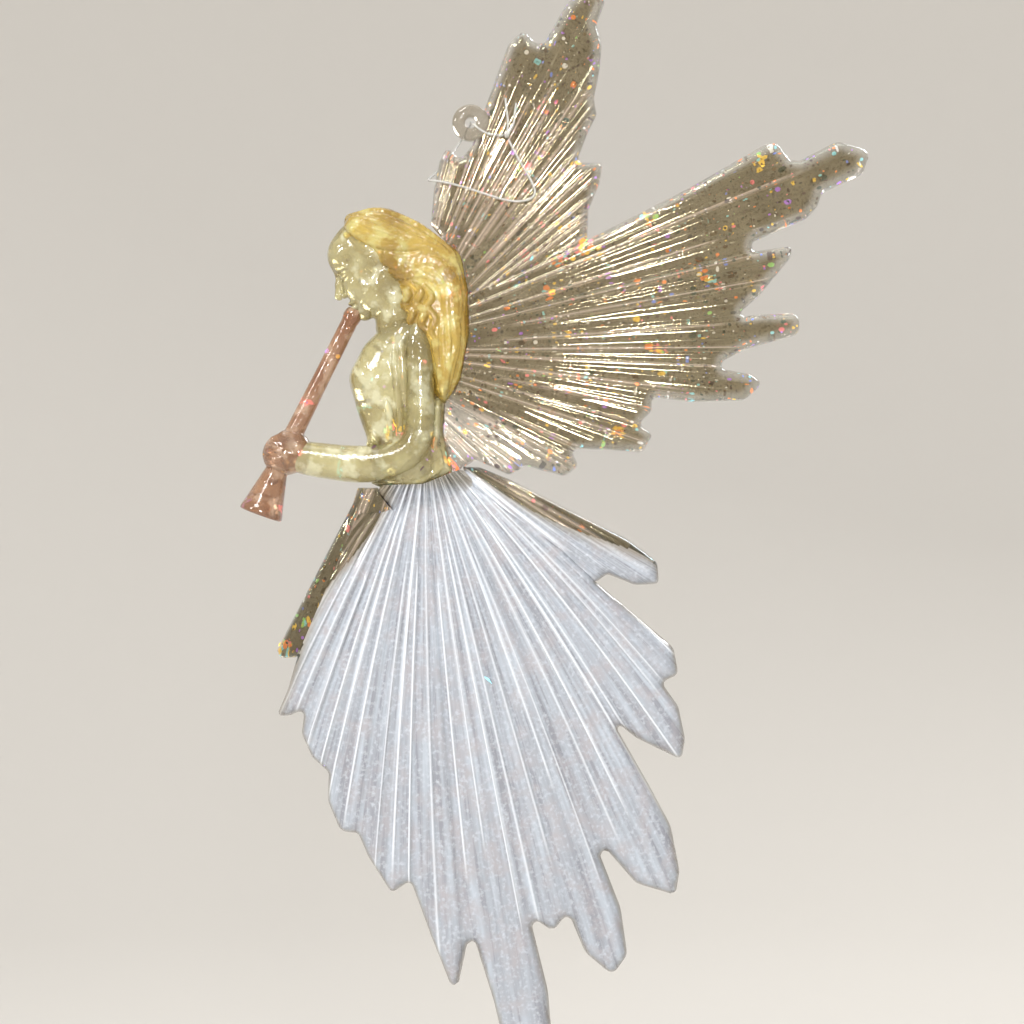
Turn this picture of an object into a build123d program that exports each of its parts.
from build123d import *

import math
import os

# Hanging angel ornament: a clear resin angel in profile, blowing a trumpet, with two
# feathered wings and a long feathered skirt, hung by a nylon line through a small eyelet.
# Frame: +Z is up when it hangs, -Y is the front, the origin is the centre of the eyelet's
# hole, and the whole casting is symmetric about the plane y = 0. Lengths are millimetres.

# ---- driving dimensions ----
WING_HALF = 2.3  # half thickness over the wing ridges
SKIRT_HALF = 2.8  # half thickness over the skirt ridges
FIGURE_HALF = 4.8  # half thickness of the hair and the body
WEB_SHARE = 0.74  # plate between the ridges, as a share of the full thickness
EDGE_CHAMFER = 0.55  # broken edge all round a plate
SMALLEST_CORNER = 0.9  # tightest corner of an outline, a little over the chamfer

EYELET_RADIUS = 3.3
EYELET_HOLE_RADIUS = 1.0
EYELET_THICKNESS = 3.0
EYELET_ROUNDING = 0.9

LINE_DIAMETER = 0.4
KNOT_RADIUS = 0.7
JOINT_SWELL = 1.02  # growth of the ball that joins two rods
CORNER_SHARE = 0.45  # share of the shorter side that a rounded corner may use up

HEAD_TILT = 27.0  # degrees that the face looks down
HEAD_CENTRE = (-18.0, -24.9)

WING_ROOT = (-19.0, -41.0)  # point from which the lower wing's ridges fan out
UPPER_WING_ROOT = (-13.0, -42.0)
SKIRT_ROOT = (-8.0, -57.0)

# ---- outlines: (x, z, corner radius), clockwise as seen from the front ----
UPPER_WING = [
    (-3.3, -22.8, 0), (-7.2, -18.4, 1.5), (-6.6, -12.0, 4), (-5.8, -7.4, 1.5),
    (-4.3, -4.2, 0.9),  # short feather beside the eyelet
    (-1.8, -6.6, 0.9), (0.2, -4.1, 1.2), (3.0, 3.9, 6), (6.8, 14.2, 3),
    (9.6, 16.8, 1),  # second feather
    (11.5, 14.5, 0.9), (13.3, 14.3, 0.9), (17.2, 21.4, 7),
    (21.9, 25.7, 1.6),  # longest feather
    (24.3, 22.0, 2), (22.6, 17.6, 1.6), (23.6, 14.0, 2), (23.2, 9.4, 4), (22.2, 4.4, 1),
    (22.7, 1.5, 1), (21.0, -1.9, 2), (19.0, -7.2, 0.9),
    (23.8, -7.1, 0.9), (23.2, -10.8, 1.5), (21.2, -15.7, 2), (21.0, -20.7, 0),
    (8.9, -31.8, 0), (-3.4, -31.8, 0),
]
LOWER_WING = [
    (-1.6, -31.8, 0), (5.3, -28.9, 0), (21.5, -20.8, 4), (38.9, -11.9, 12),
    (54.7, -2.9, 2), (57.4, -6.6, 0.9),  # leading feather
    (59.2, -6.8, 1), (66.0, -3.2, 3),
    (72.0, -5.0, 1.6), (70.6, -9.1, 1.6), (63.2, -12.6, 1), (62.5, -14.9, 1.6),
    (60.4, -17.2, 2), (50.5, -21.5, 0.9), (50.8, -23.1, 0.9),
    (58.0, -22.1, 0.9), (57.5, -24.3, 1.2), (52.0, -31.0, 4), (47.3, -35.1, 0.9),
    (52.0, -34.4, 3), (59.2, -34.2, 1.6), (59.2, -38.0, 1.8), (49.4, -40.7, 2), (43.4, -43.9, 0.9),
    (50.5, -45.2, 1.6), (52.6, -46.8, 0.9), (49.3, -49.9, 1.8), (39.9, -50.2, 5), (32.6, -49.3, 0.9),
    (32.6, -51.8, 1.2), (30.2, -54.2, 0.9),
    (32.8, -56.0, 0.9), (30.9, -59.3, 1.4), (25.0, -58.8, 4), (17.9, -58.6, 0.9),
    (19.4, -61.6, 0.9), (17.0, -63.6, 1.4), (9.8, -61.7, 0.9),
    (7.0, -63.4, 1), (0.9, -60.6, 1), (-2.4, -62.6, 0), (-7.0, -62.6, 0), (-7.0, -38.0, 0),
]
SKIRT = [
    (-16.5, -70.2, 0), (-20.0, -70.2, 0), (-31.2, -96.1, 1), (-32.9, -102.0, 3),
    (-34.9, -106.7, 0.9), (-32.6, -106.6, 0.9), (-29.8, -105.4, 0.9), (-30.4, -109.8, 2),
    (-28.5, -114.1, 2), (-25.5, -116.8, 1), (-25.7, -121.9, 4), (-23.4, -127.4, 1.8),
    (-20.2, -127.8, 1), (-18.4, -132.0, 4), (-14.2, -138.6, 0.9), (-10.8, -136.2, 0.9),
    (-7.2, -146.0, 8), (-2.7, -157.3, 0.9), (0.0, -144.6, 0.9),
    (4.2, -158.0, 12), (7.6, -172.6, 6),
    (12.6, -177.0, 1.6),  # longest feather
    (15.4, -173.6, 2), (13.9, -156.0, 14), (10.6, -142.6, 0.9),
    (14.8, -145.4, 1), (17.6, -142.0, 1), (20.6, -149.2, 4), (25.6, -153.4, 1.4),
    (28.2, -149.6, 2), (27.0, -141.2, 6), (23.2, -131.5, 0.9), (24.4, -130.6, 0.9),
    (29.8, -136.8, 3), (36.9, -138.9, 1), (37.6, -134.6, 3), (36.0, -126.4, 6),
    (31.8, -118.6, 9), (25.2, -107.0, 0.9), (29.8, -110.6, 3), (38.0, -114.6, 0.9),
    (38.6, -110.8, 3), (37.4, -105.0, 3), (34.3, -100.6, 0.9), (37.4, -99.2, 1.2),
    (36.5, -94.3, 3), (31.6, -90.2, 5), (22.6, -82.6, 0), (16.1, -76.6, 0),
    (-0.1, -65.0, 0), (-5.5, -67.0, 0),
]
REAR_BLADE = [
    (-0.1, -65.0, 0), (16.1, -76.6, 0), (22.6, -82.6, 0), (24.6, -81.1, 1),
    (29.6, -83.1, 2), (33.9, -82.9, 0.9), (33.6, -79.0, 2), (28.0, -74.8, 4),
    (16.6, -69.1, 12), (6.8, -64.0, 5), (1.6, -61.9, 1.5), (-1.5, -61.8, 0),
]
FRONT_RIB = [
    (-14.6, -66.6, 0), (-12.4, -70.8, 0), (-19.8, -70.8, 0), (-31.2, -96.1, 0), (-34.2, -96.3, 0.9),
    (-34.9, -95.0, 0.9), (-27.4, -80.4, 10), (-21.2, -68.4, 2), (-20.4, -65.6, 0), (-16.0, -65.6, 0),
]
HAIR = [
    (-22.6, -16.4, 1.5), (-15.6, -14.9, 6), (-8.9, -17.9, 5), (-1.7, -23.4, 4), (-0.4, -30.0, 6),
    (-0.2, -38.0, 6), (-1.8, -46.4, 4), (-4.8, -51.0, 1), (-6.8, -48.6, 1.5), (-8.6, -41.0, 3),
    (-12.0, -35.8, 3),
    (-13.6, -29.6, 3), (-17.6, -24.4, 3), (-23.2, -21.0, 1),
]
TORSO = [
    (-16.0, -31.0, 0), (-15.4, -36.2, 1.5), (-19.2, -40.0, 3), (-22.0, -45.6, 4), (-20.4, -52.0, 3),
    (-18.6, -57.0, 3), (-19.6, -64.6, 1.2), (-9.6, -66.2, 2), (-3.0, -63.6, 1.5), (-4.8, -56.0, 4),
    (-4.4, -48.0, 4), (-1.2, -38.0, 6), (-8.0, -30.0, 2),
]
WAIST_GATHER = [
    (-17.6, -65.2, 1), (-14.0, -69.8, 1.4), (-8.6, -70.6, 3), (-2.6, -68.4, 2), (0.8, -64.6, 1.2),
    (-1.6, -62.2, 1), (-8.4, -65.0, 4),
]

# ---- ridges: (bend x, bend z, tip x, tip z); each runs from the fan's root to a feather tip ----
UPPER_WING_RIDGES = [
    (-6.8, -16.0, -4.6, -5.4), (-2.6, -16.0, 0.6, -5.0), (0.6, -12.0, 9.6, 15.6),
    (4.2, -8.0, 15.4, 17.2), (7.6, -6.0, 21.9, 24.4), (9.8, -8.0, 22.4, 12.0),
    (10.6, -14.0, 21.8, 1.4), (11.0, -19.0, 22.8, -8.0),
]
LOWER_WING_RIDGES = [
    (26.0, -20.4, 55.0, -4.6), (34.0, -19.6, 71.0, -5.8), (36.0, -23.4, 61.6, -13.6),
    (34.0, -28.0, 58.6, -21.2), (32.0, -31.8, 57.4, -23.2), (32.0, -36.6, 58.6, -36.2),
    (30.0, -40.6, 51.6, -46.8), (24.0, -44.2, 47.0, -49.4), (18.0, -47.6, 31.8, -50.8),
    (16.0, -50.8, 31.8, -57.6), (9.6, -52.8, 18.4, -62.2), (3.4, -54.4, 7.8, -62.4),
]
SKIRT_RIDGES = [
    (-24.4, -88.0, -34.0, -106.0), (-21.4, -92.0, -29.6, -112.0), (-18.4, -96.0, -24.2, -126.0),
    (-15.0, -102.0, -14.4, -137.4), (-10.6, -106.0, -2.8, -155.6), (-3.6, -112.0, 12.4, -175.6),
    (3.4, -104.0, 15.0, -144.6), (8.6, -104.0, 25.6, -152.2), (14.0, -102.0, 32.4, -136.8),
    (17.6, -98.0, 36.6, -137.8), (18.4, -90.0, 32.0, -111.0), (22.0, -88.0, 38.0, -113.8),
    (20.6, -83.0, 37.0, -99.0), (4.0, -92.0, 12.0, -126.0),
]
REAR_BLADE_RIDGES = [
    (16.0, -72.0, 33.2, -81.4),
]

# The line's loop, from the knot's left side through the eyelet, down behind the wing, round its
# left edge, and back across the front to the knot: (x, y, z).
LINE_ROUTE = [
    (5.9, -3.3, -2.7), (3.8, -3.1, -2.7), (1.8, -2.9, -1.7), (0, -2.5, 0),
    (0, 2.5, 0), (-1.5, 3.0, -2.2), (-3.6, 3.1, -5.6), (-6.2, 2.6, -8.6),
    (-8.0, 0, -10.4), (-6.4, -2.6, -10.6), (-2.4, -3.1, -11.5), (1.8, -3.1, -12.8),
    (5.8, -3.1, -14.2), (9.4, -3.1, -14.6), (11.9, -3.1, -13.4), (10.9, -3.1, -10.6),
    (8.8, -3.1, -7.4), (6.8, -3.3, -3.4),
]
KNOT_CENTRE = (6.5, -3.4, -2.6)
LINE_TAILS = {
    "line_tail_left": [(6.5, -3.4, -2.6), (6.9, -3.3, -0.4), (6.4, -3.1, 1.8), (6.3, -3.1, 4.0)],
    "line_tail_right": [(6.5, -3.4, -2.6), (7.7, -3.3, -1.2), (7.9, -3.1, 0.9), (8.2, -3.1, 3.1)],
}


def half_turn_tangent(before, corner, after):
    """Tangent of half the angle that a path turns through at a corner."""
    turn = (Vector(*corner) - Vector(*before)).get_angle(Vector(*after) - Vector(*corner))
    return math.tan(math.radians(turn) / 2)


def largest_radius(before, corner, after):
    """Largest corner radius that leaves room for the corners on either side."""
    shorter = min(math.dist(before, corner), math.dist(corner, after))
    return CORNER_SHARE * shorter / half_turn_tangent(before, corner, after)


def rounded_face(corners):
    """Flat face in the plane y = 0, from (x, z, corner radius) corners."""
    points = [(x, z) for x, z, _ in corners]
    radii = []
    for i, (_, _, wanted) in enumerate(corners):
        limit = largest_radius(points[i - 1], points[i], points[(i + 1) % len(points)])
        radii.append(min(max(wanted, SMALLEST_CORNER), limit) if wanted else 0)
    return make_face(Plane.XZ * FilletPolyline(*points, radius=radii, close=True))


def plate(corners, half_thickness):
    """Plate on both sides of y = 0, with its edges broken."""
    blank = extrude(rounded_face(corners), amount=half_thickness, both=True)
    rims = blank.edges().filter_by(lambda edge: abs(abs(edge.center().Y) - half_thickness) < 0.01)
    return chamfer(rims, EDGE_CHAMFER)


def ball(centre, radius):
    """Ball a hair larger than the rods that meet in it, so that their surfaces never coincide."""
    return Pos(*centre) * Sphere(JOINT_SWELL * radius)


def rod(start, end, start_radius, end_radius):
    """Tapered round rod between two points."""
    axis = Vector(*end) - Vector(*start)
    along = Plane(origin=start, z_dir=axis)
    if abs(start_radius - end_radius) < 0.001:
        return along * Cylinder(start_radius, axis.length, align=(Align.CENTER, Align.CENTER, Align.MIN))
    cone = Cone(start_radius, end_radius, axis.length, align=(Align.CENTER, Align.CENTER, Align.MIN))
    return along * cone


def ridge(root, bend, tip, web_half, full_half):
    """Ridge that swells out of the plate on both faces and dies away at its ends."""
    start_radius = 0.8 * web_half
    end_radius = 0.7 * web_half
    lower = rod((root[0], 0, root[1]), (bend[0], 0, bend[1]), start_radius, full_half)
    upper = rod((bend[0], 0, bend[1]), (tip[0], 0, tip[1]), full_half, end_radius)
    return lower + ball((bend[0], 0, bend[1]), full_half) + upper


def feathered_plate(corners, root, ridges, full_half):
    """Ridged plate: the ridges are trimmed to the outline."""
    web_half = WEB_SHARE * full_half
    ridged = plate(corners, web_half)
    room = extrude(rounded_face(corners), amount=full_half + 1, both=True)
    for bend_x, bend_z, tip_x, tip_z in ridges:
        ridged += ridge(root, (bend_x, bend_z), (tip_x, tip_z), web_half, full_half) & room
    return ridged


def soft_plate(corners, half_thickness, rounding):
    """Thick rounded solid for the figure's parts."""
    blank = extrude(rounded_face(corners), amount=half_thickness, both=True)
    rims = blank.edges().filter_by(lambda edge: abs(abs(edge.center().Y) - half_thickness) < 0.01)
    return fillet(rims, rounding)


def ellipsoid(centre, radii, tilt=0.0):
    """Ellipsoid with its (forward, sideways, up) radii, leaning by tilt degrees about Y."""
    return Pos(centre[0], 0, centre[1]) * Rot(0, -tilt, 0) * scale(Sphere(1), by=radii)


def on_head(forward, up):
    """Point (x, z) from distances ahead of and above the head's centre."""
    lean = math.radians(HEAD_TILT)
    x = HEAD_CENTRE[0] - forward * math.cos(lean) - up * math.sin(lean)
    z = HEAD_CENTRE[1] - forward * math.sin(lean) + up * math.cos(lean)
    return (x, z)


def make_head():
    """Skull, jaw, nose and neck of a calm, plain face that looks to the left and down."""
    skull = ellipsoid(on_head(-0.6, 2.0), (7.4, 4.4, 6.6), HEAD_TILT)
    jaw = ellipsoid(on_head(1.6, -3.0), (5.2, 3.6, 5.6), HEAD_TILT)
    nose_bridge = on_head(6.2, -0.4)
    nose_tip = on_head(7.5, -3.0)
    nose = rod((nose_bridge[0], 0, nose_bridge[1]), (nose_tip[0], 0, nose_tip[1]), 0.5, 1.0)
    neck_top = on_head(-2.6, -4.0)
    neck = rod((neck_top[0], 0, neck_top[1]), (-13.4, 0, -36.6), 3.2, 3.6)
    return skull + jaw + nose + ball((nose_tip[0], 0, nose_tip[1]), 1.0) + neck


def make_eyelet():
    """Round eyelet with a hole along Y."""
    ring = Rot(90, 0, 0) * (
        Cylinder(EYELET_RADIUS, EYELET_THICKNESS) - Cylinder(EYELET_HOLE_RADIUS, EYELET_THICKNESS)
    )
    return fillet(ring.edges().filter_by(GeomType.CIRCLE), EYELET_ROUNDING)


def make_upper_arm(side):
    """Upper arm that lies against the body, on the front (-1) or the back (+1)."""
    shoulder = (-8.2, side * 3.0, -39.6)
    elbow = (-9.8, side * 2.2, -59.0)
    arm = rod(shoulder, elbow, 2.5, 2.7)
    arm += ball(shoulder, 2.5)
    arm += ball(elbow, 2.7)
    keep = Pos(0, side * FIGURE_HALF * 2, -50) * Box(60, FIGURE_HALF * 4, 60)
    return arm & keep


def make_forearm():
    """Single forearm from both elbows to the hand on the trumpet."""
    elbow = (-9.8, 0, -61.0)
    bend = (-18.4, 0, -61.4)
    wrist = (-31.6, 0, -60.4)
    forearm = rod(elbow, bend, 3.2, 3.4)
    forearm += ball(bend, 3.4)
    forearm += rod(bend, wrist, 3.4, 2.9)
    return forearm + ball(elbow, 3.2)


def make_trumpet():
    """Trumpet tube from the lips to the hand, and the flared bell below the hand."""
    tube = rod((-20.6, 0, -33.4), (-33.8, 0, -59.7), 1.5, 1.75)
    collar = (-34.6, 0, -61.6)
    throat = (-35.9, 0, -65.2)
    mouth = (-37.9, 0, -70.6)
    bell = rod(collar, throat, 1.9, 2.2) + ball(throat, 2.2) + rod(throat, mouth, 2.2, 4.1)
    return tube, bell


def line_path(points):
    """Straight runs joined by tangent arcs as large as the runs allow, and the arcs' radii."""
    radii = [largest_radius(*points[i - 1 : i + 2]) for i in range(1, len(points) - 1)]
    return FilletPolyline(*points, radius=radii), radii


def make_line(points):
    """Round nylon line along a route; prints its radii and compares its volume with its length."""
    path, radii = line_path(points)
    start = Plane(origin=path @ 0, z_dir=path % 0)
    line = sweep(start * Circle(LINE_DIAMETER / 2), path=path)
    section = math.pi * (LINE_DIAMETER / 2) ** 2
    print("line length", round(path.length, 2), "volume ratio", round(line.volume / (section * path.length), 4))
    print("line radii", [round(radius, 2) for radius in radii])
    return line


def solid_only(shape):
    """The one solid of a shape, without slivers."""
    return max(shape.solids(), key=lambda solid: solid.volume)


def make_parts():
    """Every node, cut so that neighbours meet face to face."""
    head = make_head()
    torso = soft_plate(TORSO, 4.4, 1.0)
    hair = soft_plate(HAIR, FIGURE_HALF, 1.2)
    waist_gather = soft_plate(WAIST_GATHER, 3.8, 0.6)
    hand = Pos(-33.8, 0, -59.7) * Sphere(3.9)
    forearm = make_forearm() - hand
    trumpet_tube, trumpet_bell = make_trumpet()
    eyelet = make_eyelet()
    eyelet_hole = Rot(90, 0, 0) * Cylinder(EYELET_HOLE_RADIUS + 0.3, 20)

    parts = {}
    parts["head"] = head
    parts["hair"] = hair - head
    parts["forearm"] = forearm
    parts["hand"] = hand
    parts["upper_arm_front"] = make_upper_arm(-1) - forearm - parts["hair"]
    parts["upper_arm_back"] = make_upper_arm(1) - forearm - parts["hair"]
    parts["waist_gather"] = waist_gather - forearm
    parts["torso"] = torso
    for name in ("head", "hair", "forearm", "upper_arm_front", "upper_arm_back", "waist_gather"):
        parts["torso"] -= parts[name]
    parts["trumpet_tube"] = trumpet_tube - head - hand
    parts["trumpet_bell"] = trumpet_bell - hand - parts["trumpet_tube"]

    parts["skirt"] = feathered_plate(SKIRT, SKIRT_ROOT, SKIRT_RIDGES, SKIRT_HALF)
    for name in ("waist_gather", "torso", "forearm"):
        parts["skirt"] -= parts[name]
    blade = feathered_plate(REAR_BLADE, SKIRT_ROOT, REAR_BLADE_RIDGES, SKIRT_HALF)
    parts["skirt_rear_blade"] = blade
    for name in ("skirt", "waist_gather", "torso"):
        parts["skirt_rear_blade"] -= parts[name]
    parts["skirt_front_rib"] = plate(FRONT_RIB, 2.4)
    for name in ("skirt", "waist_gather", "torso", "forearm"):
        parts["skirt_front_rib"] -= parts[name]

    parts["hanging_eyelet"] = eyelet
    parts["lower_wing"] = feathered_plate(LOWER_WING, WING_ROOT, LOWER_WING_RIDGES, WING_HALF)
    for name in ("hair", "torso", "upper_arm_front", "upper_arm_back", "waist_gather", "skirt_rear_blade"):
        parts["lower_wing"] -= parts[name]
    upper_wing = feathered_plate(UPPER_WING, UPPER_WING_ROOT, UPPER_WING_RIDGES, WING_HALF)
    parts["upper_wing"] = upper_wing - eyelet_hole
    for name in ("hair", "head", "lower_wing", "hanging_eyelet"):
        parts["upper_wing"] -= parts[name]

    knot = Pos(*KNOT_CENTRE) * Sphere(KNOT_RADIUS)
    parts["line_knot"] = knot
    parts["hanging_line"] = make_line(LINE_ROUTE) - knot
    for name, points in LINE_TAILS.items():
        parts[name] = make_line(points) - knot
    return {name: solid_only(shape) for name, shape in parts.items()}


os.makedirs("parts", exist_ok=True)
for part_name, part_solid in make_parts().items():
    part_solid.label = part_name
    export_step(part_solid, f"parts/{part_name}.step")
    print(part_name, round(part_solid.volume, 1))
